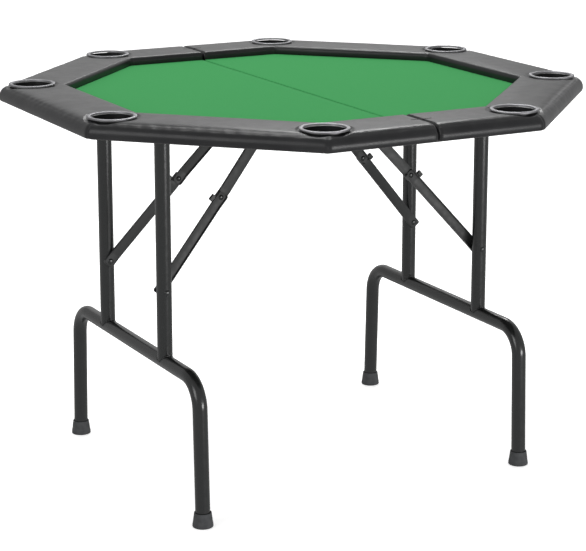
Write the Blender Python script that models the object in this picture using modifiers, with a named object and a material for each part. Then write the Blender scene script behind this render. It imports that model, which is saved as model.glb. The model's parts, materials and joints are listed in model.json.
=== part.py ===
"""Folding eight-sided card table: two padded half tops, cup holders, hinged leg frames and braces.

Metres, +Z up. The origin is on the floor under the middle of the top. The fold line runs along Y,
so the left half lies at -X and the right half at +X; -Y is the front.
"""
import math

import bmesh
import bpy
from mathutils import Matrix, Vector

# ---- driving dimensions -------------------------------------------------------------------------
HALF_ACROSS = 0.535  # centre of the top to the middle of an outer edge
TOP_HEIGHT = 0.765  # floor to the top of the cup rims
RIM_STANDS = 0.002  # how far the cup rims stand above the padded rail
RAIL_WIDTH = 0.123
RAIL_INNER_ROUND = 0.006
RAIL_OUTER_ROUND = 0.020
RAIL_BOTTOM_ROUND = 0.004
RAIL_SKIRT = 0.0325  # height of the rail's outer side
BOARD_THICK = 0.012
FELT_THICK = 0.0035  # cloth and the foam under it
GAP = 0.0003  # left between pieces that touch

CUP_CIRCLE = 0.512  # centre of the top to the middle of a cup
CUP_RIM_R = 0.045
CUP_WALL_R = 0.0395
CUP_INNER_R = 0.038
CUP_FLOOR = 0.0015
CUP_ROOM = 0.0006  # between a cup and its hole

PIN_OFFSET = 0.016  # each hinge pin to the fold line
PIN_DEPTH = 0.013  # rail crown down to the hinge pins
PIN_R = 0.002
HINGE_Y = 0.47
SEAM = 0.0005  # each half's end to the fold line
POCKET_REACH, POCKET_HALF = 0.028, 0.0085  # the pocket for a hinge leaf: depth in X, half width
SLOT_REACH, SLOT_HALF = 0.0215, 0.0019  # the slot for a hinge link
CLEAR_LOW, CLEAR_HIGH, CLEAR_FAR = 0.69, 0.80, 0.62  # cutters end here, outside the top

LEG_X = 0.35  # fold line to a leg frame
LEG_PIVOT_DROP = 0.016  # board's underside to the leg rod's axis
UPRIGHT_Y = 0.136
UPRIGHT_R = 0.0145
TUBE_R = 0.014
TUBE_WALL = 0.0012
CROSSBAR_Z = 0.275
BEND_R = 0.055
FOOT_Y = 0.294
LEG_SPLAY = 0.035  # sideways run of a lower leg for each unit of height
ROD_R = 0.006

BRACE_TOP_X = 0.082
BRACE_LOW_Z = 0.410
UPPER_LINK = 0.1942
LINK_HALF = 0.0105
LINK_SHEET = 0.0016
LINK_FLANGE = 0.004
LINK_FLAT = 0.016  # flat stretch at each end of a link
LINK_TIP = (  # place along the link past its pivot, half width there
    (-0.0095, 0.0065),
    (-0.0085, 0.0085),
    (-0.006, 0.0103),
)
RIVET_R = 0.003
LAYER_GAP = 0.0004  # between a brace's layers
KNEE_HEAD_R, KNEE_HEAD = 0.005, 0.0024  # the knee rivet's heads, thickness including the root

# ---- levels worked out from them ----------------------------------------------------------------
CORNER = 1 / math.cos(math.pi / 8)  # an octagon's corner radius over its half width
CROWN_Z = TOP_HEIGHT - RIM_STANDS
SKIRT_Z = CROWN_Z - RAIL_SKIRT
BOARD_Z = SKIRT_Z - 0.0015
BOARD_TOP = BOARD_Z + BOARD_THICK
RAIL_Z = BOARD_TOP + GAP
RAIL_INNER = HALF_ACROSS - RAIL_WIDTH
BOARD_HALF = HALF_ACROSS - 0.013
PIN_Z = CROWN_Z - PIN_DEPTH
LEG_PIVOT_Z = BOARD_Z - LEG_PIVOT_DROP
FIXING_Z = BOARD_Z - GAP  # top of what is screwed under the board

# Distances from the table's middle plane, along Y, of the brace's layers.
LOW_WEB_END = UPRIGHT_Y - UPRIGHT_R - LAYER_GAP - LINK_FLANGE - LINK_SHEET
KNEE_SHIFT = 0.0205
LOW_WEB_KNEE = LOW_WEB_END - KNEE_SHIFT
UP_WEB_KNEE = LOW_WEB_KNEE - LAYER_GAP - LINK_SHEET
UP_WEB_END = UP_WEB_KNEE - 0.026

SIDES = {"left": -1, "right": 1}
ENDS = {"front": -1, "back": 1}

COLOURS = {  # slot: colour, roughness, metallic
    "felt": ((0.075, 0.36, 0.12), 0.95, 0.0),
    "vinyl": ((0.02, 0.02, 0.022), 0.5, 0.0),
    "board": ((0.03, 0.026, 0.023), 0.7, 0.0),
    "cup": ((0.015, 0.015, 0.016), 0.35, 0.0),
    "black_steel": ((0.03, 0.032, 0.033), 0.4, 0.0),
    "bright_steel": ((0.6, 0.6, 0.6), 0.3, 1.0),
    "rubber": ((0.04, 0.042, 0.045), 0.8, 0.0),
}


# ---- scene and helpers --------------------------------------------------------------------------
for old in list(bpy.data.objects):
    bpy.data.objects.remove(old)

PARTS = bpy.data.collections.new("card_table")
CUTTERS = bpy.data.collections.new("cutters")
for collection in (PARTS, CUTTERS):
    bpy.context.scene.collection.children.link(collection)


def make_material(name, colour, roughness, metallic):
    material = bpy.data.materials.new(name)
    material.use_nodes = True
    shader = material.node_tree.nodes["Principled BSDF"]
    shader.inputs["Base Color"].default_value = (*colour, 1)
    shader.inputs["Roughness"].default_value = roughness
    shader.inputs["Metallic"].default_value = metallic
    return material


MATERIALS = {name: make_material(name, *look) for name, look in COLOURS.items()}


def add_pivot(name, location):
    pivot = bpy.data.objects.new(name, None)
    pivot.location = location
    pivot.empty_display_size = 0.03
    PARTS.objects.link(pivot)
    return pivot


def add_part(name, mesh, slot, pivot, place=(0, 0, 0), turn=(0, 0, 0)):
    """A node. place is in world axes, and the part hangs from its joint's empty."""
    part = bpy.data.objects.new(name, mesh)
    part.data.materials.append(MATERIALS[slot])
    part.parent = pivot
    part.location = Vector(place) - pivot.location
    part.rotation_euler = turn
    PARTS.objects.link(part)
    return part


def add_tool(mesh, place=(0, 0, 0), turn=(0, 0, 0)):
    """A cutter, or a shape to be joined to a part."""
    tool = bpy.data.objects.new("tool", mesh)
    tool.location = place
    tool.rotation_euler = turn
    tool.hide_render = True
    tool.display_type = "WIRE"
    CUTTERS.objects.link(tool)
    return tool


def combine(part, tool, operation):
    step = part.modifiers.new(operation.lower(), "BOOLEAN")
    step.operation = operation
    step.solver = "EXACT"
    step.object = tool


def shade(part):
    """Bake the part's modifiers, shade its round faces smooth and keep its real edges sharp."""
    graph = bpy.context.evaluated_depsgraph_get()
    mesh = bpy.data.meshes.new_from_object(part.evaluated_get(graph))
    part.modifiers.clear()
    part.data = mesh
    mesh.shade_smooth()
    mesh.set_sharp_from_angle(angle=math.radians(35))


def mesh_from(bm):
    bmesh.ops.recalc_face_normals(bm, faces=bm.faces)
    mesh = bpy.data.meshes.new("mesh")
    bm.to_mesh(mesh)
    bm.free()
    return mesh


def box_mesh(low, high):
    bm = bmesh.new()
    bmesh.ops.create_cube(bm, size=1)
    size = Vector(high) - Vector(low)
    middle = (Vector(high) + Vector(low)) / 2
    for vertex in bm.verts:
        vertex.co = Vector(c * s for c, s in zip(vertex.co, size)) + middle
    return mesh_from(bm)


def rod_mesh(radius, length, sides):
    """A round bar along Z with its middle at the origin."""
    bm = bmesh.new()
    bmesh.ops.create_cone(
        bm, cap_ends=True, segments=sides, radius1=radius, radius2=radius, depth=length
    )
    return mesh_from(bm)


def octagon_mesh(half_across, low, high):
    bm = bmesh.new()
    radius = half_across * CORNER
    bmesh.ops.create_cone(
        bm, cap_ends=True, segments=8, radius1=radius, radius2=radius, depth=high - low
    )
    bmesh.ops.rotate(bm, verts=bm.verts, matrix=Matrix.Rotation(math.pi / 8, 3, "Z"))
    bmesh.ops.translate(bm, verts=bm.verts, vec=(0, 0, (high + low) / 2))
    return mesh_from(bm)


def prism_mesh(outline, axis, start, end):
    """An outline in the two other axes, in their X, Y, Z order, drawn out along axis."""
    bm = bmesh.new()
    corners = []
    for a, b in outline:
        point = {"X": (start, a, b), "Y": (a, start, b)}[axis]
        corners.append(bm.verts.new(point))
    face = bm.faces.new(corners)
    made = bmesh.ops.extrude_face_region(bm, geom=[face])["geom"]
    step = {"X": (end - start, 0, 0), "Y": (0, end - start, 0)}[axis]
    moved = [g for g in made if isinstance(g, bmesh.types.BMVert)]
    bmesh.ops.translate(bm, verts=moved, vec=step)
    return mesh_from(bm)


def profile_mesh(points, closed):
    bm = bmesh.new()
    line = [bm.verts.new((r, 0, z)) for r, z in points]
    for a, b in zip(line, line[1:]):
        bm.edges.new((a, b))
    if closed:
        bm.edges.new((line[-1], line[0]))
    mesh = bpy.data.meshes.new("profile")
    bm.to_mesh(mesh)
    bm.free()
    return mesh


def add_turning(thing, steps):
    screw = thing.modifiers.new("turn", "SCREW")
    screw.steps = screw.render_steps = steps
    screw.use_merge_vertices = True
    screw.merge_threshold = 0.00001
    screw.use_smooth_shade = False


def arc(centre, radius, start, end, count):
    """Points on an arc in the profile plane, angles in degrees."""
    points = []
    for i in range(count):
        angle = math.radians(start + (end - start) * i / (count - 1))
        points.append(
            (centre[0] + radius * math.cos(angle), centre[1] + radius * math.sin(angle))
        )
    return points


def across(sign, low, high):
    """A stretch mirrored to one side, lowest end first."""
    return tuple(sorted((sign * low, sign * high)))


ALONG_Y = (math.pi / 2, 0, 0)  # turns a bar along Z to lie along Y


# ---- cutters shared by a half's pieces ----------------------------------------------------------
def seam_cutter(side):
    """Everything past the fold line. Above the pins the end is rounded about the hinge pin."""
    x = SIDES[side]
    round_r = PIN_OFFSET - SEAM
    edge = [(-SEAM, CLEAR_LOW)]
    edge += arc((-PIN_OFFSET, PIN_Z), round_r, 0, 90, 8)
    edge += [(-PIN_OFFSET, CLEAR_HIGH), (CLEAR_FAR, CLEAR_HIGH), (CLEAR_FAR, CLEAR_LOW)]
    outline = [(-x * a, b) for a, b in edge]
    return add_tool(prism_mesh(outline, "Y", -CLEAR_FAR, CLEAR_FAR))


def cup_places(side):
    """Cup centres of one half, from the front to the back."""
    steps = (-67.5, -22.5, 22.5, 67.5)
    places = []
    for step in steps:
        angle = math.radians(step)
        places.append(
            (SIDES[side] * CUP_CIRCLE * math.cos(angle), CUP_CIRCLE * math.sin(angle))
        )
    return places


def cup_cutters(side):
    tools = []
    for x, y in cup_places(side):
        mesh = rod_mesh(CUP_WALL_R + CUP_ROOM, 0.08, 16)
        tools.append(add_tool(mesh, (x, y, CROWN_Z - 0.015)))
    return tools


def hinge_cutters(side):
    """The pocket for a hinge leaf in each rail end, and the slot its link swings through."""
    x = SIDES[side]
    tools = []
    for y in ENDS.values():
        (x0, x1), (s0, s1) = across(x, -0.002, POCKET_REACH), across(x, -0.002, SLOT_REACH)
        middle = y * HINGE_Y
        pocket = box_mesh(
            (x0, middle - POCKET_HALF, RAIL_Z - 0.002), (x1, middle + POCKET_HALF, PIN_Z + 0.006)
        )
        slot = box_mesh(
            (s0, middle - SLOT_HALF, PIN_Z - 0.003), (s1, middle + SLOT_HALF, CLEAR_HIGH)
        )
        tools += [add_tool(pocket), add_tool(slot)]
    return tools


# ---- the half tops ------------------------------------------------------------------------------
def rail_profile():
    """The padded rail's section: distance from the table's centre to an edge, and height."""
    inner, outer = RAIL_INNER, HALF_ACROSS
    r1, r2, r3 = RAIL_INNER_ROUND, RAIL_OUTER_ROUND, RAIL_BOTTOM_ROUND
    points = [(inner, RAIL_Z)]
    points += arc((inner + r1, CROWN_Z - r1), r1, 180, 90, 5)
    points += arc((outer - r2, CROWN_Z - r2), r2, 90, 0, 6)
    points += arc((outer - r3, SKIRT_Z + r3), r3, 0, -90, 3)
    points += [(BOARD_HALF + GAP, SKIRT_Z), (BOARD_HALF + GAP, RAIL_Z)]
    return [(a * CORNER, z) for a, z in points]


def add_top(side, pivot):
    seam, cups = seam_cutter(side), cup_cutters(side)
    board = add_part(
        f"{side}_board", octagon_mesh(BOARD_HALF, BOARD_Z, BOARD_TOP), "board", pivot
    )
    felt_low = BOARD_TOP + GAP
    felt_mesh = octagon_mesh(RAIL_INNER - GAP, felt_low, felt_low + FELT_THICK)
    felt = add_part(f"{side}_felt", felt_mesh, "felt", pivot)
    rail = add_part(f"{side}_rail", profile_mesh(rail_profile(), True), "vinyl", pivot)
    rail.rotation_euler = (0, 0, math.pi / 8)
    add_turning(rail, 8)
    for piece in (board, felt, rail):
        combine(piece, seam, "DIFFERENCE")
    for cutter in cups:
        combine(board, cutter, "DIFFERENCE")
        combine(rail, cutter, "DIFFERENCE")
    for cutter in hinge_cutters(side):
        combine(rail, cutter, "DIFFERENCE")


def add_cups(side, pivot):
    low = BOARD_Z + 0.0007
    under = CROWN_Z + GAP
    profile = [
        (0, low + CUP_FLOOR),
        (CUP_INNER_R, low + CUP_FLOOR),
        (CUP_INNER_R, TOP_HEIGHT - 0.0005),
        (CUP_INNER_R + 0.0015, TOP_HEIGHT),
        (CUP_RIM_R - 0.001, TOP_HEIGHT),
        (CUP_RIM_R, under),
        (CUP_WALL_R, under),
        (CUP_WALL_R, low),
        (0, low),
    ]
    for number, (x, y) in enumerate(cup_places(side), 1):
        mesh = profile_mesh(profile, False)
        cup = add_part(f"{side}_cup_{number}", mesh, "cup", pivot, (x, y, 0))
        add_turning(cup, 16)


def add_fixings(side, end, pivot):
    """What is screwed under the board for one leg, one brace and one end of the fold."""
    x, y = SIDES[side], ENDS[end]
    plate, flange, reach = 0.003, 0.003, 0.185
    near = UPRIGHT_Y + UPRIGHT_R + 0.002
    low = LEG_PIVOT_Z - 0.011
    outline = [
        (near, low),
        (near + plate, low),
        (near + plate, FIXING_Z - flange),
        (reach, FIXING_Z - flange),
        (reach, FIXING_Z),
        (near, FIXING_Z),
    ]
    outline = [(y * a, b) for a, b in outline]
    x0, x1 = across(x, LEG_X - 0.016, LEG_X + 0.016)
    mesh = prism_mesh(outline, "X", x0, x1)
    bracket = add_part(f"{side}_{end}_leg_bracket", mesh, "black_steel", pivot)
    hole = add_tool(
        rod_mesh(ROD_R + GAP, 0.02, 16), (x * LEG_X, y * (near + 0.0015), LEG_PIVOT_Z), ALONG_Y
    )
    combine(bracket, hole, "DIFFERENCE")

    near = UP_WEB_END + LINK_SHEET + LAYER_GAP
    low = LEG_PIVOT_Z - 0.009
    outline = [
        (near, low),
        (near + 0.0025, low),
        (near + 0.0025, FIXING_Z - 0.0025),
        (near + 0.024, FIXING_Z - 0.0025),
        (near + 0.024, FIXING_Z),
        (near, FIXING_Z),
    ]
    outline = [(y * a, b) for a, b in outline]
    x0, x1 = across(x, BRACE_TOP_X - 0.011, BRACE_TOP_X + 0.011)
    mesh = prism_mesh(outline, "X", x0, x1)
    hanger = add_part(f"{side}_{end}_brace_bracket", mesh, "black_steel", pivot)
    head_at = UP_WEB_END - LINK_FLANGE - 0.0005
    middle = (head_at - 0.0015 + near + 0.001) / 2
    length = near + 0.001 - (head_at - 0.0015)
    spot = (x * BRACE_TOP_X, y * middle, LEG_PIVOT_Z)
    combine(hanger, add_tool(rod_mesh(RIVET_R, length, 12), spot, ALONG_Y), "UNION")
    spot = (x * BRACE_TOP_X, y * (head_at - 0.00075), LEG_PIVOT_Z)
    combine(hanger, add_tool(rod_mesh(0.0055, 0.0015, 12), spot, ALONG_Y), "UNION")

    x0, x1 = across(x, 0.001, 0.031)
    depth = 0.010 if side == "left" else 0.005
    mesh = box_mesh((x0, y * 0.25 - 0.011, FIXING_Z - depth), (x1, y * 0.25 + 0.011, FIXING_Z))
    add_part(f"{side}_{end}_seam_catch", mesh, "bright_steel", pivot)


def add_hinge_leaf(side, end, pivot):
    """A clevis on the board, inside the rail's end, with the hinge pin through its ears."""
    x, y = SIDES[side], ENDS[end]
    base, foot, top = RAIL_Z + GAP, RAIL_Z + 0.0023, PIN_Z + 0.005
    wide, ear_out, ear_in = POCKET_HALF - 0.001, 0.0044, SLOT_HALF
    half = [(ear_in, foot), (ear_in, top), (ear_out, top), (ear_out, foot), (wide, foot)]
    half += [(wide, base)]
    outline = half + [(-a, b) for a, b in reversed(half)]
    outline = [(a + y * HINGE_Y, b) for a, b in outline]
    x0, x1 = across(x, 0.009, 0.025)
    leaf = add_part(
        f"{side}_{end}_hinge_leaf", prism_mesh(outline, "X", x0, x1), "bright_steel", pivot
    )
    spot = (x * PIN_OFFSET, y * HINGE_Y, PIN_Z)
    combine(leaf, add_tool(rod_mesh(PIN_R, 2 * ear_out - 0.001, 12), spot, ALONG_Y), "UNION")


def add_hinge_link(end, pivot):
    y, half = ENDS[end] * HINGE_Y, 0.0042
    outline = arc((PIN_OFFSET, PIN_Z), half, -90, 90, 7)
    outline += arc((-PIN_OFFSET, PIN_Z), half, 90, 270, 7)
    mesh = prism_mesh(outline, "Y", y - 0.0014, y + 0.0014)
    link = add_part(f"{end}_hinge_link", mesh, "bright_steel", pivot)
    for x in SIDES.values():
        hole = add_tool(rod_mesh(PIN_R + 0.0004, 0.02, 12), (x * PIN_OFFSET, y, PIN_Z), ALONG_Y)
        combine(link, hole, "DIFFERENCE")


# ---- leg frames ---------------------------------------------------------------------------------
def tube_route():
    """The bent leg tube's centre line in its own plane, from one foot to the other."""
    start_z = 0.0108
    tilt = math.degrees(math.atan(LEG_SPLAY))
    lean = math.radians(tilt)
    # The bend joins the level crossbar to a leg that leans by the splay.
    centre_z = CROSSBAR_Z - BEND_R
    reach = FOOT_Y - LEG_SPLAY * (centre_z + BEND_R * math.sin(lean))
    centre_y = reach - BEND_R * math.cos(lean)
    leg = [(FOOT_Y - LEG_SPLAY * start_z, start_z)]
    bend = arc((centre_y, centre_z), BEND_R, tilt, 90, 7)
    half = leg + bend
    return half + [(-y, z) for y, z in reversed(half)]


def tube_mesh():
    curve = bpy.data.curves.new("tube", "CURVE")
    curve.dimensions = "3D"
    curve.bevel_depth = TUBE_R
    curve.bevel_resolution = 2
    spline = curve.splines.new("POLY")
    route = tube_route()
    spline.points.add(len(route) - 1)
    for point, (y, z) in zip(spline.points, route):
        point.co = (0, y, z, 1)
    guide = bpy.data.objects.new("guide", curve)
    bpy.context.scene.collection.objects.link(guide)
    seen = guide.evaluated_get(bpy.context.evaluated_depsgraph_get())
    mesh = bpy.data.meshes.new_from_object(seen)
    bpy.data.objects.remove(guide)
    bm = bmesh.new()
    bm.from_mesh(mesh)
    bmesh.ops.remove_doubles(bm, verts=bm.verts, dist=0.00001)
    return mesh_from(bm)


def add_leg_frame(side, pivot):
    x = SIDES[side] * LEG_X
    add_part(
        f"{side}_leg_rod",
        rod_mesh(ROD_R, 0.320, 12),
        "black_steel",
        pivot,
        (x, 0, LEG_PIVOT_Z),
        ALONG_Y,
    )
    tube = add_part(f"{side}_leg_tube", tube_mesh(), "black_steel", pivot, (x, 0, 0))
    wall = tube.modifiers.new("wall", "SOLIDIFY")
    wall.thickness = TUBE_WALL
    wall.offset = -1
    foot = [
        (0, 0.010),
        (0.0150, 0.010),
        (0.0150, 0.028),
        (0.0168, 0.028),
        (0.0197, 0.004),
        (0.0192, 0),
        (0, 0),
    ]
    for end, y in ENDS.items():
        spot = (x, y * (FOOT_Y - LEG_SPLAY * 0.019), 0)
        cap = add_part(f"{side}_{end}_foot", profile_mesh(foot, False), "rubber", pivot, spot)
        add_turning(cap, 16)
        add_upright(side, end, pivot, (x, y * UPRIGHT_Y))
        add_brace_rivet(side, end, pivot, x, y)


def add_upright(side, end, pivot, spot):
    low, high = CROSSBAR_Z + 0.004, LEG_PIVOT_Z + 0.005
    inner = UPRIGHT_R - TUBE_WALL
    wall = [(inner, high), (UPRIGHT_R, high), (UPRIGHT_R, low), (inner, low)]
    mesh = profile_mesh(wall, True)
    upright = add_part(f"{side}_{end}_upright", mesh, "black_steel", pivot, (*spot, 0))
    add_turning(upright, 16)
    for radius, z in (
        (TUBE_R + GAP, CROSSBAR_Z),
        (ROD_R + GAP, LEG_PIVOT_Z),
        (RIVET_R + GAP, BRACE_LOW_Z),
    ):
        combine(upright, add_tool(rod_mesh(radius, 0.05, 16), (*spot, z), ALONG_Y), "DIFFERENCE")


def add_brace_rivet(side, end, pivot, x, y):
    """Through the upright and the lower link's end, with a head at each side."""
    outer = UPRIGHT_Y + UPRIGHT_R + GAP
    inner = LOW_WEB_END - 0.0005
    head, head_r = 0.002, 0.006
    middle, half = (outer + inner) / 2, (outer - inner) / 2
    profile = [
        (0, half + head),
        (head_r, half + head),
        (head_r, half),
        (RIVET_R, half),
        (RIVET_R, -half),
        (head_r, -half),
        (head_r, -half - head),
        (0, -half - head),
    ]
    mesh = profile_mesh(profile, False)
    spot = (x, y * middle, BRACE_LOW_Z)
    rivet = add_part(f"{side}_{end}_brace_rivet", mesh, "black_steel", pivot, spot, ALONG_Y)
    add_turning(rivet, 12)


# ---- braces -------------------------------------------------------------------------------------
def link_mesh(length, web_start, web_end, flange_sign, end_sign):
    """A pressed channel along X, cranked sideways in a straight slant between its flat ends.

    web_start and web_end are the web's near face from the middle plane; the flanges point away
    from it on the side flange_sign, and end_sign mirrors it to the front or the back.
    """
    stations = list(LINK_TIP) + [(0, LINK_HALF), (LINK_FLAT, LINK_HALF)]
    stations += [(length - u, w) for u, w in reversed(stations)]
    bm = bmesh.new()
    rings = []
    for u, half in stations:
        share = min(max((u - LINK_FLAT) / (length - 2 * LINK_FLAT), 0), 1)
        near = web_start + (web_end - web_start) * share
        far = near + LINK_SHEET
        if flange_sign < 0:
            near, far = far, near
        lip = far + flange_sign * LINK_FLANGE
        inner = half - LINK_SHEET
        section = [
            (near, -half),
            (near, half),
            (lip, half),
            (lip, inner),
            (far, inner),
            (far, -inner),
            (lip, -inner),
            (lip, -half),
        ]
        rings.append([bm.verts.new((u, end_sign * q, w)) for q, w in section])
    count = len(rings[0])
    for ring, following in zip(rings, rings[1:]):
        for i in range(count):
            j = (i + 1) % count
            bm.faces.new((ring[i], ring[j], following[j], following[i]))
    bm.faces.new(rings[0])
    bm.faces.new(rings[-1])
    return mesh_from(bm)


def brace_line(side):
    """Direction of a brace from its lower pivot up, as a turn about Y, and its length."""
    run, rise = LEG_X - BRACE_TOP_X, LEG_PIVOT_Z - BRACE_LOW_Z
    return math.atan2(-rise, -SIDES[side] * run), math.hypot(run, rise)


def add_brace(side, end, upper_pivot, lower_pivot, catch_pivot):
    x, y = SIDES[side], ENDS[end]
    turn, total = brace_line(side)
    lower = total - UPPER_LINK

    mesh = link_mesh(lower, LOW_WEB_END, LOW_WEB_KNEE, 1, y)
    spot = lower_pivot.location
    link = add_part(
        f"{side}_{end}_lower_link", mesh, "black_steel", lower_pivot, spot, (0, turn, 0)
    )
    hole = rod_mesh(RIVET_R + GAP, 0.02, 12)
    combine(link, add_tool(hole, (spot[0], y * LOW_WEB_END, spot[2]), ALONG_Y), "DIFFERENCE")
    along = Vector((math.cos(turn), 0, -math.sin(turn)))
    knee = Vector(spot) + along * lower
    knee.y = y * (LOW_WEB_KNEE + LINK_SHEET + LAYER_GAP)
    combine(link, add_tool(rod_mesh(KNEE_HEAD_R, KNEE_HEAD, 12), knee, ALONG_Y), "UNION")

    spot = upper_pivot.location
    mesh = link_mesh(UPPER_LINK, UP_WEB_END, UP_WEB_KNEE, -1, y)
    back = turn + math.pi
    link = add_part(f"{side}_{end}_upper_link", mesh, "black_steel", upper_pivot, spot, (0, back, 0))
    hole = rod_mesh(RIVET_R + GAP, 0.02, 12)
    combine(link, add_tool(hole, (spot[0], y * UP_WEB_END, spot[2]), ALONG_Y), "DIFFERENCE")
    knee.y = y * (UP_WEB_KNEE - LAYER_GAP)
    combine(link, add_tool(rod_mesh(KNEE_HEAD_R, KNEE_HEAD, 12), knee, ALONG_Y), "UNION")

    # The catch sits on the link's outer edge, just below the knee.
    edge = -x
    low, high = sorted((0, edge * 0.0092))
    q0, q1 = across(y, LOW_WEB_KNEE, LOW_WEB_KNEE + 0.0055)
    mesh = box_mesh((0, q0, low), (0.013, q1, high))
    spot = catch_pivot.location
    catch = add_part(
        f"{side}_{end}_lock_catch", mesh, "black_steel", catch_pivot, spot, (0, turn, 0)
    )
    bevel = catch.modifiers.new("edges", "BEVEL")
    bevel.width = 0.0012
    bevel.segments = 1


def brace_pivots(side, end):
    """The joints' empties: on the board, on the upright, and the catch's own."""
    x = SIDES[side]
    turn, total = brace_line(side)
    lower = total - UPPER_LINK
    low = Vector((x * LEG_X, 0, BRACE_LOW_Z))
    along = Vector((math.cos(turn), 0, -math.sin(turn)))
    out = Vector((math.sin(turn), 0, math.cos(turn))) * -x
    catch = low + along * (lower - 0.018) + out * (LINK_HALF + GAP)
    return (
        add_pivot(f"{side}_{end}_upper_link_axis", (x * BRACE_TOP_X, 0, LEG_PIVOT_Z)),
        add_pivot(f"{side}_{end}_lower_link_axis", low),
        add_pivot(f"{side}_{end}_catch_axis", catch),
    )


# ---- the whole table ----------------------------------------------------------------------------
hinge_axis = add_pivot("hinge_links_axis", (-PIN_OFFSET, 0, PIN_Z))
for end_name in ENDS:
    add_hinge_link(end_name, hinge_axis)

for side_name, side_sign in SIDES.items():
    top_axis = add_pivot(f"{side_name}_top_axis", (side_sign * PIN_OFFSET, 0, PIN_Z))
    leg_axis = add_pivot(f"{side_name}_leg_axis", (side_sign * LEG_X, 0, LEG_PIVOT_Z))
    add_top(side_name, top_axis)
    add_cups(side_name, top_axis)
    add_leg_frame(side_name, leg_axis)
    for end_name in ENDS:
        add_fixings(side_name, end_name, top_axis)
        add_hinge_leaf(side_name, end_name, top_axis)
        add_brace(side_name, end_name, *brace_pivots(side_name, end_name))

for piece in PARTS.objects:
    if piece.type == "MESH":
        shade(piece)
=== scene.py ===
"""Looks for the folding card table: padded rails, felt, cups, coated steel, studio and camera."""

import json
import math

import bmesh
import bpy
import numpy as np
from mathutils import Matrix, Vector


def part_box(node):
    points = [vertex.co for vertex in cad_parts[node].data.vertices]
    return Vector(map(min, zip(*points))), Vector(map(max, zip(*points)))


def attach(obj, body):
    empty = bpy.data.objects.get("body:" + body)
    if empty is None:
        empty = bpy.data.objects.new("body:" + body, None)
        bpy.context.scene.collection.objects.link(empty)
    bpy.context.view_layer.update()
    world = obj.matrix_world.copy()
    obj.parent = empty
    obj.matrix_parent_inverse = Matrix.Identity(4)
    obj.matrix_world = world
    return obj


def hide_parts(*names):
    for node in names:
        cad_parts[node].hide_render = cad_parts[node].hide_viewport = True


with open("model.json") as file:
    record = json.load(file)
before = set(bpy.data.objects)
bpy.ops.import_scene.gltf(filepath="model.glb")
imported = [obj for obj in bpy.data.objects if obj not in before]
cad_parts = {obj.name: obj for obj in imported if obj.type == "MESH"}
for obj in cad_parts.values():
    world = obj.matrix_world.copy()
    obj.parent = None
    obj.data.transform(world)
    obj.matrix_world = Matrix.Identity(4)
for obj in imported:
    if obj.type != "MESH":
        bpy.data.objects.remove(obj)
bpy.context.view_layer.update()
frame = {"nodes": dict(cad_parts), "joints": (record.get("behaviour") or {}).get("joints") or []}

SIDES = {"left": -1, "right": 1}
ENDS = {"front": -1, "back": 1}
CORNER = 1 / math.cos(math.pi / 8)
ALONG_Y = (math.pi / 2, 0, 0)

# ---- sizes read from the frame ------------------------------------------------------------------
RAIL_LOW, RAIL_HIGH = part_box("left_rail")
CROWN = RAIL_HIGH.z
SKIRT = RAIL_LOW.z
OUTER = -RAIL_LOW.x
BOARD_LOW, BOARD_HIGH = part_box("left_board")
FELT_LOW, FELT_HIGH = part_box("left_felt")
TOUCH = 0.0003  # what touching pieces keep between them
INNER = -FELT_LOW.x + TOUCH
RIM_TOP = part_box("left_cup_1")[1].z
JOINTS = {joint["name"]: joint for joint in frame["joints"]}
PIN_Z = JOINTS["top_fold"]["pos_m"][2]
PIN_X = JOINTS["top_fold"]["pos_m"][0]
LEG_Z = JOINTS["left_leg_fold"]["pos_m"][2]
LEG_X = JOINTS["right_leg_fold"]["pos_m"][0]
BRACE_X = JOINTS["right_front_upper_brace_turn"]["pos_m"][0]
BRACE_Z = JOINTS["right_front_lower_brace_turn"]["pos_m"][2]

# ---- sizes that the frame doesn't give ----------------------------------------------------------
UPPER_LINK = 0.1942  # between an upper strap's two pivots
LINK_HALF = 0.0105
LINK_SHEET = 0.0016
LINK_FLANGE = 0.004
LINK_FLAT = 0.016
LINK_GAP = 0.0004
KNEE_SHIFT = 0.0205  # how far a lower strap cranks in towards its knee
UPPER_SHIFT = 0.026  # and how far an upper strap cranks in from there
PIVOT_HOLE_R = 0.0033
ROD_HOLE_R = 0.0063
TUBE_R = 0.014
SADDLE_R = 0.0143  # the cut that seats an upright on the crossbar
BEND_R = 0.055
FOOT_Y = 0.294
TUBE_START = 0.0108  # the lower end of a leg tube, inside its foot cap
LEG_SPLAY = 0.035
UPRIGHT_R = 0.0145
UPRIGHT_Y = 0.136
BEAD_SEAT_R = 0.0141  # where a weld bead runs on the crossbar
CUP_R = 0.0395
RING_MIDDLE, RING_HALF, RING_TALL = 0.0413, 0.0037, 0.0011
INNER_ROUND, OUTER_ROUND, BOTTOM_ROUND = 0.006, 0.020, 0.004
SWELL_ROOM, SIDE_ROOM = 0.0012, 0.001  # left above and beside the blank for the padding
SWELL_CAP = 0.0035
VOXEL, QUICK_VOXEL = 0.004, 0.006
HELD_AT_CUP = 0.047
CUP_DIP = 0.0028  # how far the padding drops at a cup, between the two distances from its middle
CUP_DIP_START, CUP_DIP_END = 0.0468, 0.0520
CORNER_EASE = 0.0065  # the softening of the rail's outer corners in plan
FELT_EDGE = 0.0018  # the cloth's turned edge to the fold line
END_GAP = 0.0002  # from the rail's end to the fold line, below the pins
END_ROUND = 0.011  # the padding's round at the fold line
SHOULDER = 0.031  # where the top starts to fall, in from the outer edge
SHOULDER_WIDE = 0.020
SHOULDER_FALL = 4.4  # times the square of the distance past there, in metres
PUCKER = 0.00018  # the fine waves along the outer roll
CREASE, CREASE_HALF = 0.0004, 0.0022  # at each mitre
POCKET_REACH, POCKET_HALF = 0.028, 0.0085  # room for a hinge leaf in the rail's end
SLOT_REACH, SLOT_HALF = 0.0215, 0.0017  # the link's slot above it
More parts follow.
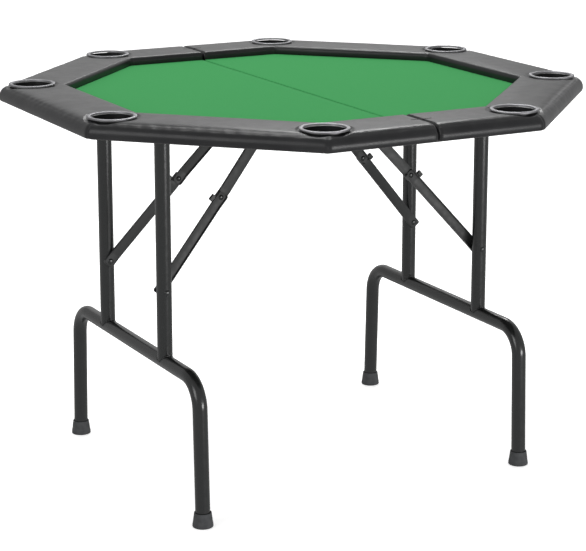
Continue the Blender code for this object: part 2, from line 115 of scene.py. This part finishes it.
FELT_ROUND, FELT_LIP = 0.0029, 0.0033


# ---- materials ----------------------------------------------------------------------------------
class Look:
    """A Principled material with a few noise layers."""

    def __init__(self, name, colour, roughness, metallic=0.0):
        self.material = bpy.data.materials.new(name)
        self.material.use_nodes = True
        self.tree = self.material.node_tree
        self.shader = self.tree.nodes["Principled BSDF"]
        self.shader.inputs["Base Color"].default_value = (*colour, 1)
        self.shader.inputs["Roughness"].default_value = roughness
        self.shader.inputs["Metallic"].default_value = metallic
        self.place = self.tree.nodes.new("ShaderNodeTexCoord").outputs["Object"]
        self.normal = None

    def noise(self, scale, detail=3.0, roughness=0.5):
        node = self.tree.nodes.new("ShaderNodeTexNoise")
        node.inputs["Scale"].default_value = scale
        node.inputs["Detail"].default_value = detail
        node.inputs["Roughness"].default_value = roughness
        self.tree.links.new(self.place, node.inputs["Vector"])
        return node.outputs["Fac"]

    def cells(self, scale):
        node = self.tree.nodes.new("ShaderNodeTexVoronoi")
        node.feature = "SMOOTH_F1"
        node.inputs["Scale"].default_value = scale
        self.tree.links.new(self.place, node.inputs["Vector"])
        return node.outputs["Distance"]

    def bump(self, height, strength, distance):
        node = self.tree.nodes.new("ShaderNodeBump")
        node.inputs["Strength"].default_value = strength
        node.inputs["Distance"].default_value = distance
        self.tree.links.new(height, node.inputs["Height"])
        if self.normal:
            self.tree.links.new(self.normal, node.inputs["Normal"])
        self.normal = node.outputs["Normal"]
        self.tree.links.new(self.normal, self.shader.inputs["Normal"])

    def vary(self, socket, source, low, high):
        """Spread a socket between two values or colours over a noise."""
        ramp = self.tree.nodes.new("ShaderNodeValToRGB")
        ramp.color_ramp.elements[0].position = 0.35
        ramp.color_ramp.elements[1].position = 0.65
        for element, value in zip(ramp.color_ramp.elements, (low, high)):
            element.color = (*value, 1) if hasattr(value, "__len__") else (value,) * 3 + (1,)
        self.tree.links.new(source, ramp.inputs["Fac"])
        self.tree.links.new(ramp.outputs["Color"], self.shader.inputs[socket])

    def set(self, **values):
        for name, value in values.items():
            self.shader.inputs[name.replace("_", " ")].default_value = value
        return self


def make_looks():
    looks = {}
    felt = Look("felt_cloth", (0.06, 0.31, 0.10), 0.95)
    felt.vary("Base Color", felt.noise(900, 4, 0.7), (0.046, 0.283, 0.083), (0.057, 0.315, 0.10))
    felt.bump(felt.noise(1400, 4, 0.7), 0.35, 0.0006)
    felt.set(Specular_IOR_Level=0.06, Sheen_Weight=0.01, Sheen_Roughness=0.5)
    looks["felt"] = felt

    hide = Look("rail_leather", (0.012, 0.012, 0.013), 0.31)
    hide.vary("Roughness", hide.noise(40, 4), 0.29, 0.33)
    hide.vary("Base Color", hide.noise(18, 3), (0.010, 0.010, 0.011), (0.016, 0.016, 0.017))
    hide.bump(hide.cells(560), 0.25, 0.0004)
    hide.set(Specular_IOR_Level=0.3)
    looks["vinyl"] = hide

    board = Look("board_stain", (0.03, 0.026, 0.023), 0.7)
    board.vary("Base Color", board.noise(260, 5, 0.7), (0.02, 0.018, 0.016), (0.045, 0.04, 0.035))
    board.bump(board.noise(500, 4), 0.2, 0.0005)
    looks["board"] = board

    cup = Look("cup_moulding", (0.012, 0.012, 0.013), 0.34)
    cup.vary("Roughness", cup.noise(120), 0.3, 0.42)
    cup.bump(cup.noise(900), 0.08, 0.0003)
    looks["cup"] = cup

    rim = Look("cup_rim_metal", (0.24, 0.24, 0.25), 0.5, 1.0)
    rim.vary("Roughness", rim.noise(240), 0.46, 0.52)
    looks["rim"] = rim

    steel = Look("powder_coat", (0.007, 0.008, 0.008), 0.23)
    steel.vary("Roughness", steel.noise(90), 0.2, 0.26)
    steel.bump(steel.noise(900, 2), 0.012, 0.0003)
    steel.set(Specular_IOR_Level=0.68)
    looks["black_steel"] = steel

    strap = Look("strap_coat", (0.014, 0.015, 0.015), 0.48)
    strap.vary("Roughness", strap.noise(90), 0.44, 0.52)
    strap.bump(strap.noise(900, 2), 0.05, 0.0003)
    looks["strap_steel"] = strap

    plated = Look("plated_steel", (0.55, 0.55, 0.56), 0.3, 1.0)
    plated.vary("Roughness", plated.noise(300), 0.22, 0.4)
    looks["bright_steel"] = plated

    rubber = Look("foot_rubber", (0.035, 0.037, 0.04), 0.75)
    rubber.vary("Base Color", rubber.noise(80, 4), (0.03, 0.032, 0.034), (0.048, 0.05, 0.053))
    rubber.bump(rubber.noise(700, 3), 0.2, 0.0005)
    looks["rubber"] = rubber
    return {name: look.material for name, look in looks.items()}


LOOKS = make_looks()


# ---- mesh helpers -------------------------------------------------------------------------------
def new_object(name, bm, look=None):
    bmesh.ops.recalc_face_normals(bm, faces=bm.faces)
    mesh = bpy.data.meshes.new(name)
    bm.to_mesh(mesh)
    bm.free()
    return link_object(name, mesh, look)


def link_object(name, mesh, look=None):
    thing = bpy.data.objects.new(name, mesh)
    bpy.context.scene.collection.objects.link(thing)
    if look:
        mesh.materials.clear()
        mesh.materials.append(LOOKS[look])
    return thing


def smooth(thing, angle=35):
    thing.data.shade_smooth()
    thing.data.set_sharp_from_angle(angle=math.radians(angle))


def settle(thing):
    """Replace the object's mesh with what its modifiers make of it."""
    graph = bpy.context.evaluated_depsgraph_get()
    mesh = bpy.data.meshes.new_from_object(thing.evaluated_get(graph))
    thing.modifiers.clear()
    thing.data = mesh


def finish_piece(thing, slot, body, *nodes):
    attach(thing, body)
    if nodes:
        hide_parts(*nodes)


def lathe(name, profile, steps, look, closed=False):
    """A shape turned about Z from points of radius and height."""
    bm = bmesh.new()
    rings = []
    for radius, z in profile:
        if radius == 0:
            rings.append([bm.verts.new((0, 0, z))])
            continue
        angles = [2 * math.pi * i / steps for i in range(steps)]
        rings.append([bm.verts.new((radius * math.cos(a), radius * math.sin(a), z)) for a in angles])
    pairs = list(zip(rings, rings[1:]))
    if closed:
        pairs.append((rings[-1], rings[0]))
    for a, b in pairs:
        for i in range(steps):
            j = (i + 1) % steps
            face = [a[i % len(a)], a[j % len(a)], b[j % len(b)], b[i % len(b)]]
            bm.faces.new(list(dict.fromkeys(face)))
    return new_object(name, bm, look)


def sweep(name, points, radius, look, segments=40):
    """A solid round bar along a path in the YZ plane."""
    bm = bmesh.new()
    rings = []
    points = [Vector(p) for p in points]
    for i, point in enumerate(points):
        ahead = points[min(i + 1, len(points) - 1)] - points[max(i - 1, 0)]
        ahead.normalize()
        side = Vector((1, 0, 0))
        up = ahead.cross(side)
        ring = []
        for k in range(segments):
            a = 2 * math.pi * k / segments
            ring.append(bm.verts.new(point + side * radius * math.cos(a) + up * radius * math.sin(a)))
        rings.append(ring)
    for a, b in zip(rings, rings[1:]):
        for i in range(segments):
            j = (i + 1) % segments
            bm.faces.new((a[i], a[j], b[j], b[i]))
    bm.faces.new(rings[0])
    bm.faces.new(rings[-1])
    return new_object(name, bm, look)


def arc(centre, radius, start, end, count):
    points = []
    for i in range(count):
        angle = math.radians(start + (end - start) * i / (count - 1))
        points.append((centre[0] + radius * math.cos(angle), centre[1] + radius * math.sin(angle)))
    return points


def box_tool(low, high):
    bm = bmesh.new()
    bmesh.ops.create_cube(bm, size=1)
    size, middle = Vector(high) - Vector(low), (Vector(high) + Vector(low)) / 2
    for vertex in bm.verts:
        vertex.co = Vector(c * s for c, s in zip(vertex.co, size)) + middle
    return new_object("tool", bm)


def rod_tool(radius, depth, place, turn=(0, 0, 0), segments=64):
    bm = bmesh.new()
    bmesh.ops.create_cone(
        bm, cap_ends=True, segments=segments, radius1=radius, radius2=radius, depth=depth
    )
    tool = new_object("tool", bm)
    tool.location = place
    tool.rotation_euler = turn
    return tool


def cut(thing, tools):
    for tool in tools:
        step = thing.modifiers.new("cut", "BOOLEAN")
        step.operation = "DIFFERENCE"
        step.solver = "EXACT"
        step.object = tool
    bpy.context.view_layer.update()
    settle(thing)
    for tool in tools:
        bpy.data.objects.remove(tool)


def finer_copy(node, slot, body, width=0.0006):
    """A CAD node with its edges eased."""
    piece = link_object(f"{node}_eased", frame["nodes"][node].data.copy(), slot)
    edges = piece.modifiers.new("edges", "BEVEL")
    edges.width = width
    edges.segments = 2
    edges.limit_method = "ANGLE"
    edges.angle_limit = math.radians(40)
    settle(piece)
    smooth(piece, 50)
    finish_piece(piece, slot, body, node)


# ---- padded rails -------------------------------------------------------------------------------
def cup_centres(side):
    centres = []
    for number in range(1, 5):
        low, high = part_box(f"{side}_cup_{number}")
        centres.append((low + high) / 2)
    return centres


def rail_blank(side):
    """The rail before padding: a mitred ring of the right section, cut at the fold line."""
    r1, r2, r3 = INNER_ROUND, OUTER_ROUND, BOTTOM_ROUND
    crown, outer, board = CROWN - SWELL_ROOM, OUTER - SIDE_ROOM, -BOARD_LOW.x + TOUCH
    profile = [(INNER, BOARD_HIGH.z + TOUCH)]
    profile += arc((INNER + r1, crown - r1), r1, 180, 90, 9)
    profile += arc((outer - r2, crown - r2), r2, 90, 0, 16)
    profile += arc((outer - r3, SKIRT + r3), r3, 0, -90, 5)
    profile += [(board, SKIRT), (board, BOARD_HIGH.z + TOUCH)]
    ring = lathe("blank", [(a * CORNER, z) for a, z in profile], 8, None, closed=True)
    ring.rotation_euler = (0, 0, math.pi / 8)
    x = SIDES[side]
    ends = [box_tool(*sorted_box((-x * 0.7, -0.7, 0.6), (x * END_GAP, 0.7, 0.9)))]
    cut(ring, ends)
    ring.data.transform(ring.matrix_basis)
    ring.rotation_euler = (0, 0, 0)
    return ring


def sorted_box(a, b):
    return tuple(map(min, a, b)), tuple(map(max, a, b))


def coordinates(mesh):
    flat = np.empty(len(mesh.vertices) * 3)
    mesh.vertices.foreach_get("co", flat)
    return flat.reshape(-1, 3)


def put_coordinates(mesh, points):
    mesh.vertices.foreach_set("co", points.ravel())
    mesh.update()


def inflate(thing, held, most):
    """Swell a closed mesh under pressure, keeping the held points, and cap the movement."""
    before = coordinates(thing.data)
    group = thing.vertex_groups.new(name="held")
    for index in np.nonzero(held > 0)[0]:
        group.add([int(index)], float(held[index]), "REPLACE")
    cloth = thing.modifiers.new("cloth", "CLOTH")
    settings = cloth.settings
    settings.quality = 6
    settings.mass = 0.3
    settings.tension_stiffness = 40
    settings.compression_stiffness = 40
    settings.bending_stiffness = 4
    settings.use_pressure = True
    settings.uniform_pressure_force = 0.25
    settings.vertex_group_mass = "held"
    settings.effector_weights.gravity = 0
    scene = bpy.context.scene
    for number in range(1, 21):
        scene.frame_set(number)
    settle(thing)
    scene.frame_set(1)
    after = coordinates(thing.data)
    move = after - before
    far = np.linalg.norm(move, axis=1, keepdims=True)
    move *= np.minimum(1, most / np.maximum(far, 1e-9))
    put_coordinates(thing.data, before + move)


def waves(points, seed, length):
    """A smooth, seeded, wandering value for each point."""
    rng = np.random.default_rng(seed)
    total = np.zeros(len(points))
    for _ in range(14):
        way = rng.normal(size=3)
        way /= np.linalg.norm(way)
        wave = length * rng.uniform(0.6, 1.5)
        total += np.sin(points @ way * 2 * math.pi / wave + rng.uniform(0, 6.3))
    return total / math.sqrt(14)


def edge_distances(x, y):
    """How far out each point is towards its nearest octagon side, and towards the next nearest."""
    ways = [number * math.pi / 4 for number in range(8)]
    reach = np.sort([x * math.cos(way) + y * math.sin(way) for way in ways], axis=0)
    return reach[-1], reach[-2]


def tailor(side, mesh):
    """Cup dips, pulled mitres, falling shoulder, puckered roll, soft corners, valley at the fold."""
    points = coordinates(mesh)
    x, y, z = points.T
    top = np.clip((z - SKIRT - 0.006) / 0.012, 0, 1)
    move = np.zeros_like(points)
    radial = np.hypot(x, y)
    turn = np.arctan2(y, x)
    outward = np.stack([x / radial, y / radial, np.zeros_like(x)], 1)
    for centre in cup_centres(side):
        dx, dy = x - centre.x, y - centre.y
        gap = np.hypot(dx, dy)
        spin = np.arctan2(dy, dx)
        share = np.clip((CUP_DIP_END - gap) / (CUP_DIP_END - CUP_DIP_START), 0, 1)
        dip = share * share * (3 - 2 * share)
        pucker = np.sin(spin * 13 + 3 * np.sin(spin * 2 + centre.x * 40))
        move[:, 2] -= top * dip * (CUP_DIP + 0.00012 * pucker)
        along = np.abs(turn - math.atan2(centre.y, centre.x)) * radial
        crease = np.exp(-((along / CREASE_HALF) ** 2)) * (gap > CUP_DIP_END)
        move[:, 2] -= top * crease * CREASE
    move[:, 2] += top * 0.00008 * waves(points, 2, 0.08)
    first, second = edge_distances(x, y)
    fall = np.clip(first - OUTER + SHOULDER, 0, SHOULDER_WIDE)
    move[:, 2] -= top * SHOULDER_FALL * fall**2
    roll = np.exp(-(((OUTER - first - 0.013) / 0.009) ** 2))
    move[:, 2] += top * roll * PUCKER * waves(points, 5, 0.02)
    outer = np.clip((first - INNER - 0.07) / 0.03, 0, 1)
    ease = np.clip(CORNER_EASE - (first - second), 0, None) ** 2 / (4 * CORNER_EASE)
    move -= outward * (outer * ease * radial / first)[:, None]
    move -= outward * (outer * 0.0018 * np.exp(-((x / 0.005) ** 2)))[:, None]
    points = points + move
    open_valley(side, points)
    points[:, 2] = np.minimum(points[:, 2], CROWN + 0.0008)
    put_coordinates(mesh, points)


def open_valley(side, points):
    """Round the end at the fold: inside an arc about the hinge pin, and lower still at the top."""
    limit = PIN_X - 0.0006
    dx = PIN_X - np.abs(points[:, 0])
    dz = points[:, 2] - PIN_Z
    gone = np.hypot(dx, dz)
    over = (dz > 0) & (dx > 0) & (gone > limit)
    scale = np.where(over, limit / np.maximum(gone, 1e-9), 1)
    points[:, 2] = np.where(over, PIN_Z + dz * scale, points[:, 2])
    points[:, 0] = np.where(over, SIDES[side] * (PIN_X - dx * scale), points[:, 0])
    inside = np.abs(points[:, 0])
    room = CROWN - PIN_Z
    arc_height = np.sqrt(np.clip(limit**2 - (PIN_X - inside) ** 2, 0, None))
    before = np.where(inside < PIN_X, np.minimum(arc_height, room), room)
    near = np.clip(END_ROUND - inside, 0, END_ROUND)
    roof = room - END_ROUND + np.sqrt(END_ROUND**2 - near**2)
    wanted = np.clip(np.minimum(before, roof), 0, None)
    high = (points[:, 2] > PIN_Z) & (before > 0.0005)
    squeeze = np.where(high, wanted / np.maximum(before, 0.0005), 1)
    points[:, 2] = np.where(high, PIN_Z + (points[:, 2] - PIN_Z) * squeeze, points[:, 2])


def make_rail(side):
    rail = rail_blank(side)
    remesh = rail.modifiers.new("even", "REMESH")
    remesh.mode = "VOXEL"
    remesh.voxel_size = VOXEL
    settle(rail)
    points = coordinates(rail.data)
    x, y, z = points.T
    held = np.zeros(len(points))
    out = edge_distances(x, y)[0]
    held[z < SKIRT + 0.007] = 1
    held[(out < -BOARD_LOW.x + 0.002) & (z < BOARD_HIGH.z + 0.003)] = 1
    held[np.abs(x) < 0.02] = 1
    held[(out < INNER + 0.004) & (z < CROWN - 0.01)] = 1
    for centre in cup_centres(side):
        held[np.hypot(x - centre.x, y - centre.y) < HELD_AT_CUP] = 1
    inflate(rail, held, SWELL_CAP)
    finer = rail.modifiers.new("finer", "SUBSURF")
    finer.levels = finer.render_levels = 1
    settle(rail)
    tailor(side, rail.data)
    tools = []
    for centre in cup_centres(side):
        tools.append(rod_tool(CUP_R + 0.0006, 0.09, (centre.x, centre.y, CROWN - 0.01)))
    sign = SIDES[side]
    for end in ENDS:
        low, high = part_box(f"{side}_{end}_hinge_leaf")
        middle = (low.y + high.y) / 2
        for reach, half, bottom, roof in (
            (POCKET_REACH, POCKET_HALF, 0.70, PIN_Z + 0.006),
            (SLOT_REACH, SLOT_HALF, PIN_Z - 0.003, 0.80),
        ):
            near, far = (-sign * 0.003, middle - half, bottom), (sign * reach, middle + half, roof)
            tools.append(box_tool(*sorted_box(near, far)))
    cut(rail, tools)
    rail.name = f"{side}_padded_rail"
    rail.data.materials.clear()
    rail.data.materials.append(LOOKS["vinyl"])
    smooth(rail, 45)
    finish_piece(rail, "vinyl", f"{side}_half", f"{side}_rail")


def make_felt(side):
    """Cloth drawn tight over its half of the field and turned down at the fold."""
    sign, top, round_r, edge = SIDES[side], FELT_HIGH.z, FELT_ROUND, FELT_EDGE
    corner = INNER * math.tan(math.pi / 8)
    bm = bmesh.new()
    columns = [edge + round_r + (INNER - 0.0006 - edge - round_r) * i / 60 for i in range(61)]
    lip = [(edge, top - FELT_LIP)]
    lip += [(edge + round_r - px, top - round_r + pz) for px, pz in arc((0, 0), round_r, 0, 90, 6)]
    stations = lip + [(a, top) for a in columns[1:]]
    rows = []
    for a, z in stations:
        reach = INNER - 0.0004 if a <= corner else INNER + corner - a - 0.0006
        rows.append([bm.verts.new((sign * a, reach * (2 * i / 60 - 1), z)) for i in range(61)])
    for p, q in zip(rows, rows[1:]):
        for i in range(60):
            bm.faces.new((p[i], p[i + 1], q[i + 1], q[i]))
    felt = new_object(f"{side}_felt_cloth", bm, "felt")
    smooth(felt, 60)
    if felt.data.polygons[len(felt.data.polygons) // 2].normal.z < 0:
        felt.data.flip_normals()
    finish_piece(felt, "felt", f"{side}_half", f"{side}_felt")


def make_cups(side):
    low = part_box(f"{side}_cup_1")[0].z
    body = [(0, low + 0.0015), (0.034, low + 0.0015)]
    body += arc((0.0345, low + 0.005), 0.0035, -90, 0, 6)
    body += [(0.038, RIM_TOP - 0.0048), (CUP_R, RIM_TOP - 0.0048)]
    body += [(CUP_R, low + 0.001), (0.0385, low), (0, low)]
    dome = arc((0, 0), 1, 180, 0, 17)
    rim = [(RING_MIDDLE + RING_HALF * px, RIM_TOP - RING_TALL + RING_TALL * pz) for px, pz in dome]
    rim += [(0.0450, RIM_TOP - 0.0030), (0.0446, RIM_TOP - 0.0034), (0.0402, RIM_TOP - 0.0034)]
    rim += [(0.0368, RIM_TOP - 0.0034)]
    for number, centre in enumerate(cup_centres(side), 1):
        cup = lathe(f"{side}_cup_body_{number}", body, 64, "cup")
        ring = lathe(f"{side}_cup_ring_{number}", rim, 96, "rim", closed=True)
        for thing in (cup, ring):
            thing.location = (centre.x, centre.y, 0)
            smooth(thing, 40)
        finish_piece(cup, "cup", f"{side}_half", f"{side}_cup_{number}")
        finish_piece(ring, "bright_steel", f"{side}_half")


# ---- steel --------------------------------------------------------------------------------------
def tube_path():
    """A leg tube's middle line from foot to foot, and the height of its crossbar."""
    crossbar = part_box("left_leg_tube")[1].z - TUBE_R
    lean = math.atan(LEG_SPLAY)
    centre_z = crossbar - BEND_R
    lowest = centre_z + BEND_R * math.sin(lean)
    centre_y = FOOT_Y - LEG_SPLAY * lowest - BEND_R * math.cos(lean)
    half = [(FOOT_Y - LEG_SPLAY * TUBE_START, TUBE_START)]
    half += arc((centre_y, centre_z), BEND_R, math.degrees(lean), 90, 24)
    return half + [(-y, z) for y, z in reversed(half)], crossbar


def make_leg_frame(side):
    x = SIDES[side] * LEG_X
    body = f"{side}_leg_frame"
    path, crossbar = tube_path()
    tube = sweep(f"{side}_bent_tube", [(0, y, z) for y, z in path], TUBE_R, "black_steel")
    tube.location.x = x
    smooth(tube, 50)
    finish_piece(tube, "black_steel", body, f"{side}_leg_tube")
    finer_copy(f"{side}_leg_rod", "black_steel", body)
    for end in ENDS:
        make_upright(side, end, x, crossbar)
        make_foot(side, end)
        make_brace_rivet(side, end)


def make_upright(side, end, x, crossbar):
    low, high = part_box(f"{side}_{end}_upright")
    y = (low.y + high.y) / 2
    radius, top = UPRIGHT_R, high.z
    wall = [(radius - 0.0012, top), (radius - 0.0004, top), (radius, top - 0.0005)]
    wall += [(radius, crossbar + 0.002), (radius - 0.0012, crossbar + 0.002)]
    upright = lathe(f"{side}_{end}_upright_tube", wall, 64, "black_steel", closed=True)
    upright.location = (x, y, 0)
    cut(
        upright,
        [
            rod_tool(SADDLE_R, 0.05, (x, y, crossbar), ALONG_Y),
            rod_tool(ROD_HOLE_R, 0.05, (x, y, LEG_Z), ALONG_Y),
            rod_tool(PIVOT_HOLE_R, 0.05, (x, y, BRACE_Z), ALONG_Y),
        ],
    )
    smooth(upright, 35)
    finish_piece(upright, "black_steel", f"{side}_leg_frame", f"{side}_{end}_upright")
    bead = weld_bead(f"{side}_{end}_weld", x, y, crossbar)
    finish_piece(bead, "black_steel", f"{side}_leg_frame")


def weld_bead(name, x, y, crossbar):
    """The bead where an upright's saddle meets the crossbar."""
    bm = bmesh.new()
    rings = []
    for i in range(72):
        a = 2 * math.pi * i / 72
        px, py = UPRIGHT_R * math.cos(a), UPRIGHT_R * math.sin(a)
        height = math.sqrt(max(BEAD_SEAT_R**2 - min(abs(px), 0.0139) ** 2, 0))
        centre = Vector((x + px, y + py, crossbar + height))
        size = 0.0016 + 0.0003 * math.sin(a * 17)
        out = Vector((math.cos(a), math.sin(a), 0))
        ring = []
        for k in range(8):
            b = 2 * math.pi * k / 8
            lift = Vector((0, 0, size * math.sin(b)))
            ring.append(bm.verts.new(centre + out * size * math.cos(b) + lift))
        rings.append(ring)
    for i, ring in enumerate(rings):
        following = rings[(i + 1) % len(rings)]
        for k in range(8):
            m = (k + 1) % 8
            bm.faces.new((ring[k], ring[m], following[m], following[k]))
    bead = new_object(name, bm, "black_steel")
    smooth(bead, 80)
    return bead


def make_foot(side, end):
    low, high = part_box(f"{side}_{end}_foot")
    middle = (low + high) / 2
    profile = [(0, 0.0100), (0.0145, 0.0100), (0.0145, 0.0274)]
    profile += arc((0.0154, 0.0270), 0.0010, 180, 0, 7)
    profile += [(0.0168, 0.0235), (0.0174, 0.0195), (0.0182, 0.0120), (0.0193, 0.0062)]
    profile += arc((0.0179, 0.0018), 0.0018, 0, -90, 5)
    profile += [(0, 0)]
    foot = lathe(f"{side}_{end}_foot_cap", profile, 64, "rubber")
    foot.location = (middle.x, middle.y, 0)
    smooth(foot, 40)
    finish_piece(foot, "rubber", f"{side}_leg_frame", f"{side}_{end}_foot")


def make_brace_rivet(side, end):
    low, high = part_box(f"{side}_{end}_brace_rivet")
    middle, half = (low + high) / 2, (high.y - low.y) / 2
    dome = [(0, half), (0.0020, half - 0.0001), (0.0042, half - 0.0006)]
    dome += [(0.0056, half - 0.0014), (0.0060, half - 0.0020), (0.0030, half - 0.0020)]
    profile = dome + [(r, -z) for r, z in reversed(dome)]
    rivet = lathe(f"{side}_{end}_rivet", profile, 32, "black_steel")
    rivet.rotation_euler = ALONG_Y
    rivet.location = middle
    smooth(rivet, 40)
    finish_piece(rivet, "black_steel", f"{side}_leg_frame", f"{side}_{end}_brace_rivet")


# ---- braces -------------------------------------------------------------------------------------
def link_piece(name, length, start, end, flange, sign):
    """A pressed channel, cranked in a straight slant between its flats. start and end are the
    web's distances from the middle plane; flange is the way its edges turn."""
    corner = arc((-0.0055, LINK_HALF - 0.004), 0.004, 180, 90, 7)
    stations = corner + [(0, LINK_HALF)]
    for step in (-0.002, -0.001, 0, 0.001, 0.002):
        stations.append((LINK_FLAT + step, LINK_HALF))
    stations += [(length - u, w) for u, w in reversed(stations)]
    bm = bmesh.new()
    rings = []
    for u, wide in stations:
        share = min(max((u - LINK_FLAT) / (length - 2 * LINK_FLAT), 0), 1)
        near = start + (end - start) * share
        far = near + LINK_SHEET
        if flange < 0:
            near, far = far, near
        lip = far + flange * LINK_FLANGE
        inner = max(wide - LINK_SHEET, 0.0001)
        section = [
            (near, -wide), (near, wide), (lip, wide), (lip, inner),
            (far, inner), (far, -inner), (lip, -inner), (lip, -wide),
        ]
        rings.append([bm.verts.new((u, sign * q, w)) for q, w in section])
    for a, b in zip(rings, rings[1:]):
        for i in range(8):
            j = (i + 1) % 8
            bm.faces.new((a[i], a[j], b[j], b[i]))
    bm.faces.new(rings[0])
    bm.faces.new(rings[-1])
    piece = new_object(name, bm, "strap_steel")
    edges = piece.modifiers.new("edges", "BEVEL")
    edges.width = 0.0005
    edges.segments = 2
    edges.limit_method = "ANGLE"
    edges.angle_limit = math.radians(50)
    settle(piece)
    cut(piece, [rod_tool(PIVOT_HOLE_R, 0.02, (0, sign * start, 0), ALONG_Y, 32)])
    smooth(piece, 40)
    return piece


def make_brace(side, end):
    x, y = SIDES[side], ENDS[end]
    run, rise = LEG_X - BRACE_X, LEG_Z - BRACE_Z
    turn, total = math.atan2(-rise, -x * run), math.hypot(run, rise)
    lower = total - UPPER_LINK
    low_end = UPRIGHT_Y - UPRIGHT_R - LINK_GAP - LINK_FLANGE - LINK_SHEET
    low_knee = low_end - KNEE_SHIFT
    up_knee = low_knee - LINK_GAP - LINK_SHEET
    up_end = up_knee - UPPER_SHIFT
    name = f"{side}_{end}"
    link = link_piece(f"{name}_lower_strap", lower, low_end, low_knee, 1, y)
    link.location = (x * LEG_X, 0, BRACE_Z)
    link.rotation_euler = (0, turn, 0)
    finish_piece(link, "black_steel", f"{name}_lower_brace", f"{name}_lower_link")
    link = link_piece(f"{name}_upper_strap", UPPER_LINK, up_end, up_knee, -1, y)
    link.location = (x * BRACE_X, 0, LEG_Z)
    link.rotation_euler = (0, turn + math.pi, 0)
    finish_piece(link, "black_steel", f"{name}_upper_brace", f"{name}_upper_link")
    along = Vector((math.cos(turn), 0, -math.sin(turn)))
    knee = Vector((x * LEG_X, 0, BRACE_Z)) + along * lower
    head = [(0, 0.0022), (0.0022, 0.0020), (0.0040, 0.0013), (0.0050, 0.0002), (0.0050, -0.0001)]
    head += [(0, -0.0001)]
    for body, web, way in (
        (f"{name}_lower_brace", low_knee + LINK_SHEET, 1),
        (f"{name}_upper_brace", up_knee, -1),
    ):
        rivet = lathe(f"{body}_knee_head", head, 28, "black_steel")
        rivet.rotation_euler = (-way * y * math.pi / 2, 0, 0)
        rivet.location = (knee.x, y * web, knee.z)
        smooth(rivet, 40)
        finish_piece(rivet, "black_steel", body)
    finer_copy(f"{name}_lock_catch", "black_steel", f"{name}_catch", 0.0004)


def make_fold_banding(side):
    """The banding on a board's edge at the fold, between the two hinge links."""
    x = SIDES[side]
    near, far = x * 0.0001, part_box(f"{side}_board")[0 if side == "right" else 1].x
    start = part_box("front_hinge_link")[1].y + 0.002
    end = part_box("back_hinge_link")[0].y - 0.002
    low, high = sorted_box((near, start, BOARD_LOW.z + 0.0004), (far, end, BOARD_HIGH.z - 0.0002))
    banding = box_tool(low, high)
    banding.name = f"{side}_fold_banding"
    banding.data.materials.append(LOOKS["board"])
    edges = banding.modifiers.new("edges", "BEVEL")
    edges.width = 0.00012
    edges.segments = 2
    settle(banding)
    smooth(banding, 40)
    finish_piece(banding, "board", f"{side}_half")


# ---- studio -------------------------------------------------------------------------------------
def make_studio():
    bm = bmesh.new()
    bmesh.ops.create_grid(bm, x_segments=1, y_segments=1, size=14)
    floor = new_object("studio_floor", bm)
    floor.location.z = -0.0005
    look = Look("floor_paint", (0.97, 0.97, 0.97), 0.9)
    look.set(Emission_Color=(1, 1, 1, 1), Emission_Strength=0.6)
    floor.data.materials.append(look.material)
    floor.visible_glossy = False
    world = bpy.data.worlds.new("studio")
    bpy.context.scene.world = world
    world.use_nodes = True
    world.node_tree.nodes["Background"].inputs["Color"].default_value = (1, 1, 1, 1)
    world.node_tree.nodes["Background"].inputs["Strength"].default_value = 0.5
    # each light: its name, place, width, height and power in watts
    for name, place, width, height, power in (
        ("overhead", (0.2, 0.9, 4.4), 1.8, 1.8, 76),
        ("left_soft", (-4.5, -1.5, 2.4), 2.2, 2.2, 45),
        ("strip", (1.5, -4.4, 0.45), 2.2, 0.9, 70),
        ("back_soft", (1.6, 5.0, 2.6), 4.0, 2.0, 8),
        ("back_high", (2.5, 3.8, 4.2), 1.5, 1.1, 58),
        ("back_right", (4.7, 3.2, 2.8), 0.8, 1.2, 4),
    ):
        light = bpy.data.lights.new(name, "AREA")
        light.shape = "RECTANGLE"
        light.size = width
        light.size_y = height
        light.energy = power
        lamp = bpy.data.objects.new(name, light)
        lamp.location = place
        aim = Vector((0, 0, 0.5)) - Vector(place)
        lamp.rotation_euler = aim.to_track_quat("-Z", "Y").to_euler()
        bpy.context.scene.collection.objects.link(lamp)
    bpy.context.scene.view_settings.view_transform = "Standard"


def make_camera():
    data = bpy.data.cameras.new("camera")
    data.lens = 124.3
    data.sensor_width = 36
    data.sensor_fit = "HORIZONTAL"
    data.shift_y = -0.1
    camera = bpy.data.objects.new("camera", data)
    camera.location = (-1.857, -3.4575, 1.4179)
    camera.rotation_euler = (math.pi / 2 - 0.2332, 0, -0.4919)
    bpy.context.scene.collection.objects.link(camera)
    bpy.context.scene.camera = camera


# ---- the whole table ----------------------------------------------------------------------------
for side_name in SIDES:
    half = f"{side_name}_half"
    make_rail(side_name)
    make_felt(side_name)
    make_fold_banding(side_name)
    make_cups(side_name)
    make_leg_frame(side_name)
    frame["nodes"][f"{side_name}_board"].data.materials.clear()
    frame["nodes"][f"{side_name}_board"].data.materials.append(LOOKS["board"])
    for end_name in ENDS:
        make_brace(side_name, end_name)
        for part in ("leg_bracket", "brace_bracket"):
            finer_copy(f"{side_name}_{end_name}_{part}", "black_steel", half, 0.0004)
        for part in ("seam_catch", "hinge_leaf"):
            finer_copy(f"{side_name}_{end_name}_{part}", "bright_steel", half, 0.0004)
for end_name in ENDS:
    finer_copy(f"{end_name}_hinge_link", "bright_steel", "hinge_links", 0.0003)
make_studio()
make_camera()
